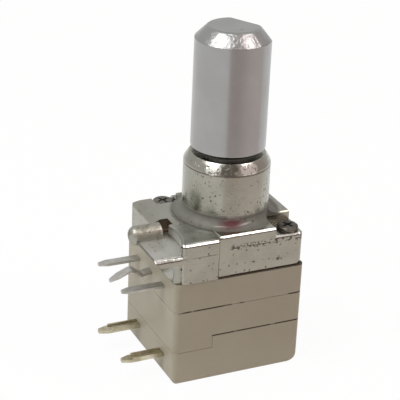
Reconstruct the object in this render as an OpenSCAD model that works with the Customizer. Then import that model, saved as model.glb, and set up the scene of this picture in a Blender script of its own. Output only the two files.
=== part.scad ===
// Small rotary potentiometer with an on/off switch in its lower wafer.
// Origin: shaft axis at the underside of the base wafer. +Z runs up the shaft,
// -X is the terminal side, -Y is the front face. Millimetres.

/* [Wafer stack] */
// Shaft axis to the terminal side face
body_left = 6.31; // [6:0.01:7]
// Shaft axis to the plain side face
body_right = 4.93; // [4.9:0.01:5.6]
// Shaft axis to the front face
body_front = 4.92; // [4.9:0.01:5.6]
// Shaft axis to the back face
body_back = 5.04; // [4.9:0.01:5.6]
// Radius of the upright corners of the wafers
corner_r = 0.45; // [0.3:0.05:0.8]
// Radius of the base wafer's lower right edge
foot_round = 1.0; // [0.5:0.1:1.2]
// Radius of the base wafer's lower terminal-side edge
heel_round = 0.35; // [0.1:0.05:0.4]
// Top of the base wafer on the terminal side
base_low = 2.73; // [2.6:0.01:2.9]
// Top of the base wafer on the plain side
base_high = 3.81; // [3.6:0.01:3.9]
// Place of the step in that joint, from the axis
step_x = 2.94; // [2.6:0.01:3.2]
// Top of the middle wafer
mid_top = 6.34; // [6.2:0.01:6.5]
// Top of the upper wafer, where the casting starts
case_top = 8.83; // [8.7:0.01:9]
// Open joint line between the wafers
joint_gap = 0.03; // [0.01:0.01:0.05]

/* [Casting] */
// Top face of the casting's deck, terminal side
deck_z = 12.2; // [12.1:0.01:12.3]
// Top face of the raised pad round the boss
pad_z = 12.36; // [12.3:0.01:12.5]
// Floor of the front screw notch
notch_z = 11.64; // [11.5:0.01:11.8]
// Casting's front wall from the axis, middle and right
wall_front = 4.77; // [4.6:0.01:4.85]
// Casting's front wall from the axis, left stretch
wall_proud = 4.99; // [4.9:0.01:5.1]
// Step in the front wall, from the axis
wall_step_x = 2.6; // [2.3:0.05:2.9]
// Casting's right wall from the axis
wall_right = 4.78; // [4.6:0.01:4.9]
// Left end of the proud front wall
proud_left = 5.86; // [5.8:0.01:6.1]
// Upright corner radius of the casting
cast_r = 0.45; // [0.3:0.05:0.6]
// Upright corner radius of the casting, terminal side at the back
cast_back_r = 1.1; // [0.6:0.05:1.3]
// Deck edge on the terminal side, from the axis
deck_left = 5.66; // [5.5:0.01:5.8]
// Back edge of the deck, from the axis
deck_back = 4.05; // [3.9:0.01:4.3]
// Height the casting's back slope falls
back_drop = 0.85; // [0.5:0.05:1]
// Left side of the front screw notch
notch_x = 2.24; // [2.1:0.01:2.5]
// Back wall of the front screw notch
notch_y = 2.12; // [1.9:0.01:2.3]
// Boss outer radius
boss_r = 3.49; // [3.4:0.01:3.6]
// Top of the boss's straight part
boss_z = 16.75; // [16:0.05:17]
// Top of the boss
boss_top_z = 17.5; // [17.3:0.05:17.6]
// Radius of the boss's top edge
boss_top_r = 3.02; // [2.8:0.01:3.2]
// Fillet at the foot of the boss
boss_fillet = 0.75; // [0.4:0.05:1]
// Draft of the boss below the top of its fillet
boss_draft = 0.04; // [0.02:0.01:0.06]
// Radius of the casting's lower cavity
cavity_r = 3.4; // [3:0.05:3.8]
// Ceiling of the casting's lower cavity
cavity_z = 10.3; // [10:0.05:10.8]

/* [Foot and peg] */
// Outer edge of the board foot, from the axis
foot_x = 8.1; // [7.8:0.01:8.3]
// Top face of the board foot
foot_z = 11.25; // [11.1:0.01:11.4]
// Thickness of the board foot
foot_t = 0.65; // [0.5:0.01:0.8]
// Radius of the scoop between foot and deck
scoop_r = 4.8; // [4:0.1:6]
// Scoop centre, from the axis along X
scoop_x = 10.0; // [9.8:0.1:10.2]
// Scoop centre, from the axis along Y
scoop_y = 2.2; // [1.8:0.1:2.6]
// Rounding of the scoop's upper rim
scoop_lip = 0.2; // [0.1:0.05:0.6]
// Right side of the pocket behind the peg, from the axis
pocket_x = 4.98; // [4.9:0.01:5.2]
// Back limit of the foot
foot_back = 0.1; // [0:0.01:0.3]
// Radius of the locating peg
peg_r = 0.77; // [0.6:0.01:0.8]
// Tip of the locating peg, from the axis
peg_tip = 8.5; // [8.3:0.01:9]
// Root end of the locating peg, from the axis
peg_root = 5.96; // [5.8:0.01:6.1]
// Peg axis, distance in front of the shaft axis
peg_y = 0.6; // [0.4:0.01:0.7]
// Peg axis height
peg_z = 11.5; // [11.3:0.01:11.7]
// Chamfer on the peg's tip
peg_chamfer = 0.3; // [0.1:0.01:0.35]

/* [Shaft] */
// Radius of the shaft's knob end
shaft_r = 3.0; // [2.95:0.01:3.05]
// Underside of the knob end
head_z = 17.87; // [17.7:0.01:18]
// Start of the end chamfer
chamfer_z = 26.76; // [26:0.01:27]
// End of the shaft
shaft_top = 27.76; // [27.5:0.01:28]
// Radius of the flat end face
end_r = 2.02; // [1.9:0.01:2.2]
// Small edge round at the underside of the knob end
lip = 0.15; // [0.1:0.01:0.25]
// Distance from the axis to the knob flat
flat_d = 1.5; // [1.2:0.01:2]
// Direction the knob flat faces, from +X towards +Y
flat_dir = 28; // [10:1:50]
// Length of the knob flat
flat_len = 7.0; // [5:0.1:9]
// Radius of the neck in the boss
neck_r = 2.0; // [1.9:0.01:2.2]
// Running clearance of the neck in its bore
run_fit = 0.04; // [0.02:0.01:0.08]
// Shoulder where the neck ends
neck_low = 7.52; // [7.5:0.01:7.6]
// Radius of the drive end
drive_r = 1.5; // [1.4:0.01:1.6]
// Half width across the drive end's flats
drive_flat = 1.1; // [1:0.01:1.2]
// Lower end of the shaft
shaft_low = 1.3; // [1.1:0.01:1.5]
// Radius of the shaft's lower pivot
pilot_r = 1.0; // [0.8:0.05:1.05]
// Clearance of the shaft end in the base
pilot_fit = 0.08; // [0.05:0.01:0.1]
// O-ring groove radius
groove_r = 1.62; // [1.5:0.01:1.8]
// O-ring groove lower side
groove_z = 14.3; // [13:0.1:15]
// O-ring groove width
groove_w = 0.75; // [0.6:0.05:1]
// Retaining ring groove radius
clip_r = 1.6; // [1.5:0.01:1.8]
// Play between the retaining ring and the thrust washer
clip_play = 0.04; // [0.02:0.01:0.08]
// Retaining ring thickness
clip_t = 0.3; // [0.2:0.01:0.4]
// Retaining ring outer radius
clip_out = 2.75; // [2.7:0.05:2.8]
// Thrust washer thickness
washer_t = 0.24; // [0.2:0.01:0.25]
// Thrust washer outer radius
washer_out = 3.25; // [3.2:0.05:3.3]

/* [Screws] */
// Screw axis from the shaft axis, along X
screw_x = 3.79; // [3.75:0.01:3.9]
// Screw axis from the shaft axis, along Y
screw_y = 3.76; // [3.7:0.01:3.9]
// Screw head radius
screw_head_r = 0.85; // [0.8:0.01:0.87]
// Screw head height
screw_head_t = 0.38; // [0.3:0.01:0.45]
// Screw shank radius
screw_r = 0.5; // [0.45:0.01:0.55]
// Clearance round the shank in the upper parts
screw_fit = 0.08; // [0.05:0.01:0.1]
// Lower end of the screws
screw_low = 0.7; // [0.6:0.1:1.5]
// Depth of the cross recess
cross_d = 0.22; // [0.1:0.01:0.25]
// Clearance round the sunk rear screw head
sink_fit = 0.07; // [0.05:0.01:0.15]
// Depth of the rear screw's seat below the deck
sink_d = 0.5; // [0.4:0.01:0.6]

/* [Terminals] */
// Terminal pitch of the resistor row
pot_pitch = 2.5; // [2.4:0.01:2.6]
// Middle of the resistor row, along Y
row_mid = 0.12; // [0:0.01:0.2]
// Room between a blade and the screw beside it
blade_room = 0.2; // [0.1:0.05:0.2]
// Height of the resistor row
pot_z = 7.73; // [7.6:0.01:7.8]
// Height of the switch row
switch_z = 1.69; // [1.6:0.01:1.8]
// Offset of the switch row from the resistor row
switch_off = 0.25; // [0.1:0.01:0.4]
// Inner end of the outer resistor terminals, from the axis
pot_in = 3.0; // [2.8:0.1:3.4]
// Inner end of the middle resistor terminal, from the axis
mid_in = 3.95; // [3.8:0.05:4.1]
// Tip of the terminals, from the axis
pin_tip = 9.82; // [9.5:0.01:10]
// Width of a resistor terminal
pot_w = 0.8; // [0.6:0.05:1]
// Thickness of a resistor terminal
pot_t = 0.25; // [0.2:0.01:0.3]
// Width of a switch terminal
switch_w = 0.86; // [0.7:0.01:1]
// Thickness of a switch terminal
switch_t = 0.3; // [0.2:0.01:0.35]
// Height of the snap-in bend in the middle terminal
kink_h = 0.42; // [0.2:0.01:0.6]
// Length of a terminal's tapered tip
taper_l = 0.7; // [0.4:0.05:1]

/* [Inside] */
// Radius of the chambers in the wafers
room_r = 4.2; // [4:0.05:4.25]
// Radius of the chamber under the resistor board
low_room_r = 3.55; // [3.4:0.05:3.7]
// Floor of the upper wafer
room_floor = 6.92; // [6.8:0.01:7]
// Thickness of the resistor board
board_t = 0.3; // [0.25:0.01:0.4]
// Board radius
board_r = 4.16; // [4:0.01:4.18]
// Hole radius in the board
board_hole = 2.2; // [2.1:0.05:2.3]
// Outer track middle radius
track_r = 3.15; // [3:0.05:3.3]
// Inner track middle radius
collector_r = 2.5; // [2.4:0.05:2.6]
// Width of each track
track_w = 0.42; // [0.3:0.01:0.45]
// Thickness of each track
track_t = 0.03; // [0.02:0.01:0.04]
// Radius of the resistor rotor
rotor_r = 3.2; // [3:0.05:3.3]
// Running gap under and round the rotors
rotor_gap = 0.06; // [0.04:0.01:0.1]
// Travel of the shaft, degrees
travel = 300; // [270:5:300]
// Width of the end stop in the upper wafer, degrees
stop_w = 36; // [30:1:40]
// Width of the rotor's stop lug, degrees
lug_w = 22; // [16:1:24]
// Top of the stop lug above the chamber floor
lug_h = 0.33; // [0.25:0.01:0.35]
// Radius of the switch rotor
wheel_r = 3.8; // [3.5:0.05:3.9]
// Lower side of the switch rotor
wheel_low = 2.5; // [2.4:0.05:2.6]
// Upper side of the switch rotor
wheel_high = 5.0; // [4.6:0.05:5.2]
// Ceiling of the middle wafer's chamber
ceiling_z = 5.1; // [5.05:0.01:5.3]
// Clearance of the switch parts round the shaft's drive end
drive_room = 0.2; // [0.15:0.05:0.25]
// Width of each switch track
lane_w = 0.6; // [0.5:0.05:0.65]
// Gap between the two switch tracks
lane_gap = 0.3; // [0.25:0.05:0.35]
// Where the open part of the outer track starts, degrees
off_from = 118; // [112:1:122]
// Where the open part of the outer track ends, degrees
off_to = 210; // [200:1:214]
// Rest place of the bridge, switched off, degrees
off_at = 158; // [150:1:166]
// Contact height above the base floor for the bridge
bridge_gap = 0.02; // [0.01:0.01:0.05]
// Sheet thickness of the springs
spring_t = 0.15; // [0.1:0.01:0.2]

/* [Hidden] */
$fn = 64;
e = 0.5;
big = 30;
clip_top = cavity_z - washer_t - clip_play;
clip_z = clip_top - clip_t;
boss_low = pad_z + boss_fillet;
base_floor = switch_z + switch_t / 2;
board_z = pot_z + pot_t / 2;
board_top = board_z + board_t;
rotor_low = room_floor + rotor_gap;
bore_r = neck_r + run_fit;
hub_r = 2.0;
brush_in = hub_r + 0.05;
brush_out = rotor_r - 0.6;
brush_top = neck_low - 0.02;
brush_low = brush_top - spring_t;
bridge_in = drive_r + drive_room;
inner_r = bridge_in + lane_w / 2;
outer_r = inner_r + lane_w + lane_gap;
bridge_out = outer_r + lane_w / 2 + 0.05;
link_at = 180 - asin(near_edge(1) / outer_r);
rest_gap = (360 - travel - stop_w - lug_w) / 2;

// Block with round upright corners, given by its limits
module slab(x0, x1, y0, y1, z0, z1, r) {
  translate([x0 + r, y0, z0])
    cube([x1 - x0 - 2 * r, y1 - y0, z1 - z0]);
  translate([x0, y0 + r, z0])
    cube([x1 - x0, y1 - y0 - 2 * r, z1 - z0]);
  for (x = [x0 + r, x1 - r])
    for (y = [y0 + r, y1 - r])
      translate([x, y, z0])
        cylinder(r = r, h = z1 - z0);
}

// Block given by its limits
module box(x0, x1, y0, y1, z0, z1) {
  translate([x0, y0, z0])
    cube([x1 - x0, y1 - y0, z1 - z0]);
}

// Ring about the shaft axis
module ring(ro, ri, z0, z1) {
  difference() {
    translate([0, 0, z0])
      cylinder(r = ro, h = z1 - z0);
    translate([0, 0, z0 - e])
      cylinder(r = ri, h = z1 - z0 + 2 * e);
  }
}

// Wedge about the shaft axis, from angle a over w degrees
module wedge(a, w, r, z0, z1) {
  translate([0, 0, z0])
    linear_extrude(height = z1 - z0)
      polygon([[0, 0], [r * cos(a), r * sin(a)],
        [r * 1.2 * cos(a + w / 2), r * 1.2 * sin(a + w / 2)],
        [r * cos(a + w), r * sin(a + w)]]);
}

// The two screw axes
module at_screw(k) {
  translate([k * screw_x, -k * screw_y, 0])
    children();
}

module screw_holes(z0, z1, r) {
  for (k = [-1, 1])
    at_screw(k)
      translate([0, 0, z0])
        cylinder(r = r, h = z1 - z0);
}

// Drive end outline: a round with two flats
module drive(r, f, z0, z1) {
  intersection() {
    translate([0, 0, z0])
      cylinder(r = r, h = z1 - z0);
    box(-big, big, -f, f, z0, z1);
  }
}

module shaft() {
  color([0.64, 0.64, 0.63])
  difference() {
    union() {
      translate([0, 0, head_z])
        cylinder(r1 = shaft_r - lip, r2 = shaft_r, h = lip);
      translate([0, 0, head_z + lip])
        cylinder(r = shaft_r, h = chamfer_z - head_z - lip);
      translate([0, 0, chamfer_z])
        cylinder(r1 = shaft_r, r2 = end_r, h = shaft_top - chamfer_z);
      translate([0, 0, neck_low])
        cylinder(r = neck_r, h = head_z - neck_low);
      drive(drive_r, drive_flat, base_floor + 0.1, neck_low);
      translate([0, 0, shaft_low])
        cylinder(r = pilot_r, h = base_floor + 0.2 - shaft_low);
    }
    rotate([0, 0, flat_dir])
      box(flat_d, big, -big, big, shaft_top - flat_len, shaft_top + e);
    ring(big, groove_r, groove_z, groove_z + groove_w);
    ring(big, clip_r, clip_z, clip_top);
  }
}

module o_ring() {
  color([0.08, 0.08, 0.08])
  ring(bore_r - 0.015, groove_r, groove_z + 0.03, groove_z + groove_w - 0.03);
}

module retaining_ring() {
  color([0.55, 0.56, 0.58])
  difference() {
    ring(clip_out, clip_r, clip_z, clip_top);
    box(-1.3, 1.3, -big, 0, clip_z - e, clip_top + e);
    for (a = [-1, 1])
      translate([a * 2.2, 0.9, clip_z - e])
        cylinder(r = 0.32, h = clip_t + 2 * e);
  }
}

module thrust_washer() {
  color([0.75, 0.62, 0.32])
  ring(washer_out, neck_r + 0.06, cavity_z - washer_t, cavity_z);
}

// Skirt, deck and pad of the casting
module casting_deck() {
  // skirt and terminal-side wall, with a round shoulder along its top edge
  difference() {
    intersection() {
      slab(-body_left, wall_right, -wall_front, body_back, case_top, deck_z, cast_r);
      slab(-body_left, big, -big, body_back, case_top, deck_z, cast_back_r);
    }
    // sloped shoulder
    translate([0, big, 0])
      rotate([90, 0, 0])
        linear_extrude(height = 2 * big)
          polygon([[-deck_left, deck_z], [-deck_left - 0.42, deck_z - 0.2],
            [-body_left, deck_z - 0.55], [-body_left - e, deck_z - 0.55],
            [-body_left - e, deck_z + e], [-deck_left, deck_z + e]]);
    // sloped back edge
    translate([-big, 0, 0])
      rotate([90, 0, 90])
        linear_extrude(height = 2 * big)
          polygon([[deck_back, deck_z], [body_back + e, deck_z],
            [body_back + e, deck_z - back_drop], [body_back, deck_z - back_drop]]);
    // room above the board foot
    foot_room(foot_z);
  }
  // proud left stretch of the front wall
  difference() {
    slab(-proud_left, -wall_step_x, -wall_proud, -wall_front + 1.5,
      case_top, deck_z, 0.3);
    foot_room(foot_z);
  }
  // raised pad round the boss
  slab(-wall_step_x, wall_right, -wall_front, deck_back, deck_z - e, pad_z, 0.2);
}

// The casting before its bore and cavities
module casting_blank() {
  difference() {
    casting_deck();
    // front screw notch
    box(notch_x, big, -big, -notch_y, notch_z, big);
    // sunk seat of the rear screw, open to the back
    box(-screw_x - screw_head_r - sink_fit, -screw_x + screw_head_r + sink_fit,
      screw_y - screw_head_r - sink_fit, big, deck_z - sink_d, big);
  }
  // foot that rests on the circuit board
  translate([0, foot_back, 0])
    rotate([90, 0, 0])
      linear_extrude(height = foot_back + wall_proud)
        polygon([[-foot_x, foot_z], [-foot_x, foot_z - 0.14],
          [-foot_x + 0.42, foot_z - foot_t], [-5, foot_z - foot_t],
          [-5, foot_z]]);
  // locating peg
  translate([-peg_root, -peg_y, peg_z])
    rotate([0, -90, 0])
      union() {
        cylinder(r = peg_r, h = peg_tip - peg_root - peg_chamfer);
        translate([0, 0, peg_tip - peg_root - peg_chamfer])
          cylinder(r1 = peg_r, r2 = peg_r - peg_chamfer, h = peg_chamfer);
      }
  // spigot that enters the upper wafer and holds the resistor board
  translate([0, 0, board_top])
    cylinder(r = room_r - 0.05, h = case_top - board_top + e);
  // boss with a slight draft at its foot, and its foot fillet
  translate([0, 0, notch_z - e])
    cylinder(r1 = boss_r + boss_draft, r2 = boss_r, h = boss_low - notch_z + e);
  translate([0, 0, boss_low])
    cylinder(r = boss_r, h = boss_z - boss_low);
  translate([0, 0, boss_z])
    cylinder(r1 = boss_r, r2 = boss_top_r, h = boss_top_z - boss_z);
  difference() {
    rotate_extrude()
      difference() {
        translate([boss_r - 0.1, deck_z - 0.1])
          square([boss_fillet + 0.1, boss_fillet + 0.1]);
        translate([boss_r + boss_fillet, boss_low])
          circle(r = boss_fillet);
      }
    box(notch_x, big, -big, -notch_y, 0, big);
    box(-screw_x - screw_head_r - sink_fit, -screw_x + screw_head_r + sink_fit,
      screw_y - screw_head_r - sink_fit, big, 0, big);
  }
}

// Space left of the scoop and in front of the shoulder block
module foot_room(z) {
  intersection() {
    translate([-scoop_x, -scoop_y, 0])
      rotate_extrude()
        difference() {
          translate([0, z])
            square([scoop_r + scoop_lip, 3]);
          translate([scoop_r, z - e])
            square([scoop_lip + e, deck_z - scoop_lip - z + e]);
          translate([scoop_r + scoop_lip, deck_z - scoop_lip])
            circle(r = scoop_lip);
        }
    box(-big, big, -big, foot_back, z, z + 3);
  }
  box(-big, -pocket_x, -1, foot_back, z, z + 3);
}

module bushing_housing() {
  color([0.61, 0.60, 0.57])
  difference() {
    casting_blank();
    // bore for the neck
    translate([0, 0, case_top - e])
      cylinder(r = bore_r, h = 10);
    // lower cavity for the ring and washer
    translate([0, 0, board_top - e])
      cylinder(r = cavity_r, h = cavity_z - board_top + e);
    screw_holes(case_top - e, 13, screw_r + screw_fit);
  }
}

// Cross-recess screw with its head seat at z
module screw(z) {
  difference() {
    union() {
      translate([0, 0, z])
        cylinder(r = screw_head_r, h = screw_head_t - 0.1);
      translate([0, 0, z + screw_head_t - 0.1])
        cylinder(r1 = screw_head_r, r2 = screw_head_r - 0.12, h = 0.1);
      translate([0, 0, screw_low])
        cylinder(r = screw_r, h = z - screw_low);
    }
    for (a = [20, 110])
      rotate([0, 0, a])
        box(-0.5, 0.5, -0.11, 0.11, z + screw_head_t - cross_d, z + 1);
  }
}

module screw_rear_left() {
  color([0.10, 0.10, 0.10])
  at_screw(-1)
    screw(deck_z - sink_d);
}

module screw_front_right() {
  color([0.10, 0.10, 0.10])
  at_screw(1)
    screw(notch_z);
}

module pot_case() {
  color([0.60, 0.56, 0.48])
  difference() {
    slab(-body_left, body_right, -body_front, body_back, mid_top, case_top, corner_r);
    difference() {
      translate([0, 0, room_floor])
        cylinder(r = low_room_r, h = 4);
      // end stop
      difference() {
        wedge(-90 - stop_w / 2, stop_w, 5, room_floor - e, room_floor + lug_h + 0.05);
        translate([0, 0, room_floor - 2 * e])
          cylinder(r = rotor_r - 0.45, h = 4);
      }
    }
    translate([0, 0, board_z])
      cylinder(r = room_r, h = 4);
    translate([0, 0, mid_top - e])
      cylinder(r = hub_r + rotor_gap, h = 4);
    screw_holes(mid_top - e, case_top + e, screw_r + screw_fit);
    for (i = [-1, 0, 1])
      pot_blade(i, false);
  }
}

module resistor_board() {
  color([0.50, 0.33, 0.16])
  ring(board_r, board_hole, board_z, board_top);
}

module resistive_track() {
  color([0.12, 0.12, 0.12])
  difference() {
    ring(track_r + track_w / 2, track_r - track_w / 2, board_z - track_t, board_z);
    wedge(180 - 20, 40, 5, board_z - 1, board_z + 1);
  }
}

module collector_ring() {
  color([0.78, 0.79, 0.80])
  ring(collector_r + track_w / 2 - 0.05, collector_r - track_w / 2 + 0.05,
    board_z - track_t, board_z);
}

// Straight resistor terminal, or its blank for cutting the slot
module pot_blade(i, tip) {
  y = row_mid + i * pot_pitch;
  x_in = i == 0 ? mid_in : pot_in;
  if (tip)
    pin(y, pot_w, pot_z - pot_t / 2, pot_t, x_in);
  else
    box(-body_left - e, -x_in, y - pot_w / 2, y + pot_w / 2,
      pot_z - pot_t / 2, pot_z + pot_t / 2);
}

// Flat blade along -X with a tapered tip
module pin(y, w, z, t, x_in) {
  translate([0, 0, z])
    linear_extrude(height = t)
      polygon([[-x_in, y - w / 2], [-x_in, y + w / 2],
        [-pin_tip + taper_l, y + w / 2], [-pin_tip, y + w * 0.2],
        [-pin_tip, y - w * 0.2], [-pin_tip + taper_l, y - w / 2]]);
}

module pot_terminal_1() {
  color([0.72, 0.71, 0.68])
  pot_blade(-1, true);
}

module pot_terminal_2() {
  color([0.72, 0.71, 0.68])
  intersection() {
    // side outline with the snap-in bend
    translate([0, row_mid + pot_w / 2, 0])
      rotate([90, 0, 0])
        linear_extrude(height = pot_w)
          polygon(kink_side());
    pin(row_mid, pot_w, pot_z - 2, 4, mid_in);
  }
}

// Side outline of the bent terminal, upper edge then lower edge
function kink_side() =
  let (u = pot_z + pot_t / 2, l = pot_z - pot_t / 2, b = -body_left - 0.4)
  [[-mid_in, u], [b, u], [b - 0.4, u - 0.12], [b - 1.2, u + kink_h],
   [b - 1.5, u + kink_h], [-pin_tip, u - pot_t], [-pin_tip, l - pot_t],
   [b - 1.55, l + kink_h], [b - 1.25, l + kink_h], [b - 0.45, l - 0.14],
   [b, l], [-mid_in, l]];

module pot_terminal_3() {
  color([0.72, 0.71, 0.68])
  difference() {
    pot_blade(1, true);
    // notch for the rear screw, reached only by a wider pitch
    screw_holes(pot_z - pot_t, pot_z + pot_t, screw_r + blade_room);
  }
}

module pot_rotor() {
  color([0.85, 0.84, 0.80])
  difference() {
    union() {
      translate([0, 0, rotor_low])
        cylinder(r = rotor_r - 0.5, h = neck_low - rotor_low);
      translate([0, 0, mid_top - 0.5])
        cylinder(r = hub_r, h = rotor_low - mid_top + 0.6);
      // stop lug
      intersection() {
        ring(rotor_r, 1.8, rotor_low, room_floor + lug_h);
        wedge(-90 - stop_w / 2 - rest_gap - lug_w, lug_w, 5, room_floor, 8);
      }
    }
    drive(drive_r, drive_flat, 5, 9);
    // seat of the brush
    ring(big, brush_in, brush_low, 9);
  }
}

module wiper_brush() {
  color([0.80, 0.66, 0.36])
  union() {
    ring(brush_out, brush_in, brush_low, brush_top);
    // arm with its two contact pads under the tracks
    box(brush_in + spring_t, track_r + spring_t, -0.25, 0.25, brush_low, brush_top);
    for (r = [collector_r, track_r])
      box(r - 0.1, r + 0.1, -0.2, 0.2, brush_top - spring_t / 2,
        board_z - track_t - 0.015);
  }
}

module switch_case() {
  color([0.60, 0.56, 0.48])
  difference() {
    union() {
      slab(-body_left, body_right, -body_front, body_back,
        base_high + joint_gap, mid_top - joint_gap, corner_r);
      // tongue below the step on the terminal side
      difference() {
        slab(-body_left, 0, -body_front, body_back,
          base_low + joint_gap, base_high + e, corner_r);
        box(-step_x - joint_gap, big, -big, big, 0, base_high + joint_gap);
      }
    }
    // spindle chamber
    translate([0, 0, 0])
      cylinder(r = room_r, h = ceiling_z);
    translate([0, 0, 0])
      cylinder(r = hub_r + rotor_gap, h = 10);
    screw_holes(0, 10, screw_r + screw_fit);
  }
}

module detent_spring() {
  color([0.70, 0.70, 0.72])
  intersection() {
    ring(room_r, room_r - spring_t, wheel_high - 1.05, wheel_high - 0.4);
    wedge(60, 60, 6, 3, 6);
  }
}

module switch_rotor() {
  color([0.30, 0.30, 0.31])
  difference() {
    union() {
      translate([0, 0, wheel_low])
        cylinder(r = wheel_r, h = wheel_high - wheel_low);
      translate([0, 0, wheel_high - e])
        cylinder(r = hub_r, h = mid_top - 0.53 - wheel_high + e);
    }
    drive(drive_r, drive_flat, 0, 9);
    // notches in the rim for the detent
    for (a = [90, 30])
      rotate([0, 0, a])
        translate([wheel_r + 0.25, 0, wheel_low - e])
          cylinder(r = 0.5, h = 5);
    // recess for the bridge
    ring(wheel_r + e, bridge_in, wheel_low - e, wheel_low + spring_t);
  }
}

module switch_bridge() {
  color([0.80, 0.66, 0.36])
  union() {
    ring(bridge_out, bridge_in, wheel_low, wheel_low + spring_t);
    // contact points over the outer and the inner track
    for (r = [inner_r, outer_r])
      rotate([0, 0, off_at])
        translate([r, 0, base_floor + bridge_gap])
          cylinder(r = 0.25, h = wheel_low - base_floor - bridge_gap + 0.05);
  }
}

module switch_base() {
  color([0.60, 0.56, 0.48])
  difference() {
    union() {
      slab(-body_left, body_right, -body_front, body_back, 0, base_low, corner_r);
      difference() {
        slab(-body_left, body_right, -body_front, body_back,
          base_low - e, base_high, corner_r);
        box(-big, -step_x, -big, big, base_low, big);
      }
    }
    // chamber for the bridge and rotor
    translate([0, 0, base_floor])
      cylinder(r = room_r, h = 5);
    // pilot hole of the shaft end
    translate([0, 0, shaft_low - 0.1])
      cylinder(r = pilot_r + pilot_fit, h = 2);
    // rounded lower right edge
    difference() {
      box(body_right - foot_round, body_right + e, -big, big, -e, foot_round);
      translate([body_right - foot_round, big, foot_round])
        rotate([90, 0, 0])
          cylinder(r = foot_round, h = 2 * big);
    }
    // rounded lower edge on the terminal side
    difference() {
      box(-body_left - e, -body_left + heel_round, -big, big, -e, heel_round);
      translate([-body_left + heel_round, big, heel_round])
        rotate([90, 0, 0])
          cylinder(r = heel_round, h = 2 * big);
    }
    screw_holes(screw_low, 5, screw_r);
    // seats of the terminals and their tracks
    for (s = [-1, 1])
      box(-body_left - e, -blade_in(s), blade_y(s) - switch_w / 2,
        blade_y(s) + switch_w / 2, base_floor - switch_t, base_floor + 0.01);
    track_a(0.01);
    track_b(0.01);
  }
}

// Outer track of the switch, open where the switch is off
module track_a(up) {
  difference() {
    ring(outer_r + lane_w / 2, outer_r - lane_w / 2, base_floor - switch_t,
      base_floor + up);
    wedge(off_from, off_to - off_from, 6, 0, 3);
  }
}

// Inner track of the switch and its link to the terminal
module track_b(up) {
  ring(inner_r + lane_w / 2, inner_r - lane_w / 2, base_floor - switch_t,
    base_floor + up);
  rotate([0, 0, link_at])
    box(inner_r, outer_r + lane_w / 2, -lane_w / 2, lane_w / 2,
      base_floor - switch_t, base_floor + up);
}

// Y of a switch blade's middle
function blade_y(s) = row_mid - switch_off + s * pot_pitch;

// Distance in Y from the axis to that blade's nearer edge
function near_edge(s) = abs(blade_y(s)) - switch_w / 2;

// Inner end of the blade, where its nearer edge meets the outer track
function blade_in(s) = sqrt(pow(outer_r, 2) - pow(near_edge(s), 2));

// Terminal blade with its stiffening edges
module switch_terminal(s) {
  y = blade_y(s);
  union() {
    pin(y, switch_w, base_floor - switch_t, switch_t, blade_in(s));
    // folded-up edges that stiffen the outer blade
    for (k = [-1, 1])
      box(-pin_tip + taper_l + 0.2, -body_left - 0.05,
        y + k * (switch_w / 2 - 0.08) - 0.08, y + k * (switch_w / 2 - 0.08) + 0.08,
        base_floor - switch_t, base_floor + 0.14);
  }
}

module switch_terminal_a() {
  color([0.80, 0.72, 0.50])
  union() {
    switch_terminal(-1);
    track_a(0);
  }
}

module switch_terminal_b() {
  color([0.80, 0.72, 0.50])
  union() {
    switch_terminal(1);
    track_b(0);
  }
}

shaft();
bushing_housing();
o_ring();
thrust_washer();
retaining_ring();
screw_rear_left();
screw_front_right();
pot_case();
resistor_board();
resistive_track();
collector_ring();
pot_terminal_1();
pot_terminal_2();
pot_terminal_3();
pot_rotor();
wiper_brush();
switch_case();
detent_spring();
switch_rotor();
switch_bridge();
switch_base();
switch_terminal_a();
switch_terminal_b();
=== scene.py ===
# %% [markdown]
# # A small rotary potentiometer with a switch
#
# The real part is a volume control: a turned shaft with a D flat, a die-cast bushing, and
# three moulded wafers below it that hold the resistor and the switch. The solids come ready
# from the frame at their true size. Here each visible one gets what a maker's eye expects:
# softened edges, a cast or moulded skin, and the small marks of use.

# %% Load the frame
import math

import bmesh
import bpy
from mathutils import Matrix, Vector


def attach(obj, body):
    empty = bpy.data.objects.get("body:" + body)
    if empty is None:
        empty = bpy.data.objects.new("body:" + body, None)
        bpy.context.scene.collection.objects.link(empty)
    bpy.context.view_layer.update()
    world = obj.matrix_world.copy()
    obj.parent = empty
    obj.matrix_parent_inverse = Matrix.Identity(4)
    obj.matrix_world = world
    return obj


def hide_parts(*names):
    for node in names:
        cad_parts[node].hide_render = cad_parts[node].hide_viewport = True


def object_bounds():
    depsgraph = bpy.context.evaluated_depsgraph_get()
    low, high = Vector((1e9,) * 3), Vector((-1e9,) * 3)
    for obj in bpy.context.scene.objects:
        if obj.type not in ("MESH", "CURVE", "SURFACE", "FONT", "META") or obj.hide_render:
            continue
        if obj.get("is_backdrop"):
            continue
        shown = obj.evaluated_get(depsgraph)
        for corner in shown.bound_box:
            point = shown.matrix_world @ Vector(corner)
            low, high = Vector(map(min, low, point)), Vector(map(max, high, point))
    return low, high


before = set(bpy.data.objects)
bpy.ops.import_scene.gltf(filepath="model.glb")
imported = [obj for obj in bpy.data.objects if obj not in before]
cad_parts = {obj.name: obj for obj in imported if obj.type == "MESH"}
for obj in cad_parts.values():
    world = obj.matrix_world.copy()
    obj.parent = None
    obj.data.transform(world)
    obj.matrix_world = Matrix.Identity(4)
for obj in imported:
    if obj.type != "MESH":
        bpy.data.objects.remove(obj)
cad_low, cad_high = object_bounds()
MM = 0.001
print("frame:", len(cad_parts), "nodes,", round((cad_high.z - cad_low.z) / MM, 2), "mm high")

# %% [markdown]
# ## The camera
#
# The photograph was taken from the front left, a little above the part, with a long lens and a
# camera that leaned two and a half degrees. A camera's own axes are right, up and back, so its
# place is a point it looks at, plus a distance along the back axis. The roll turns right and up
# about that axis. A fitted pinhole keeps most edges within a pixel of the photograph.

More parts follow.
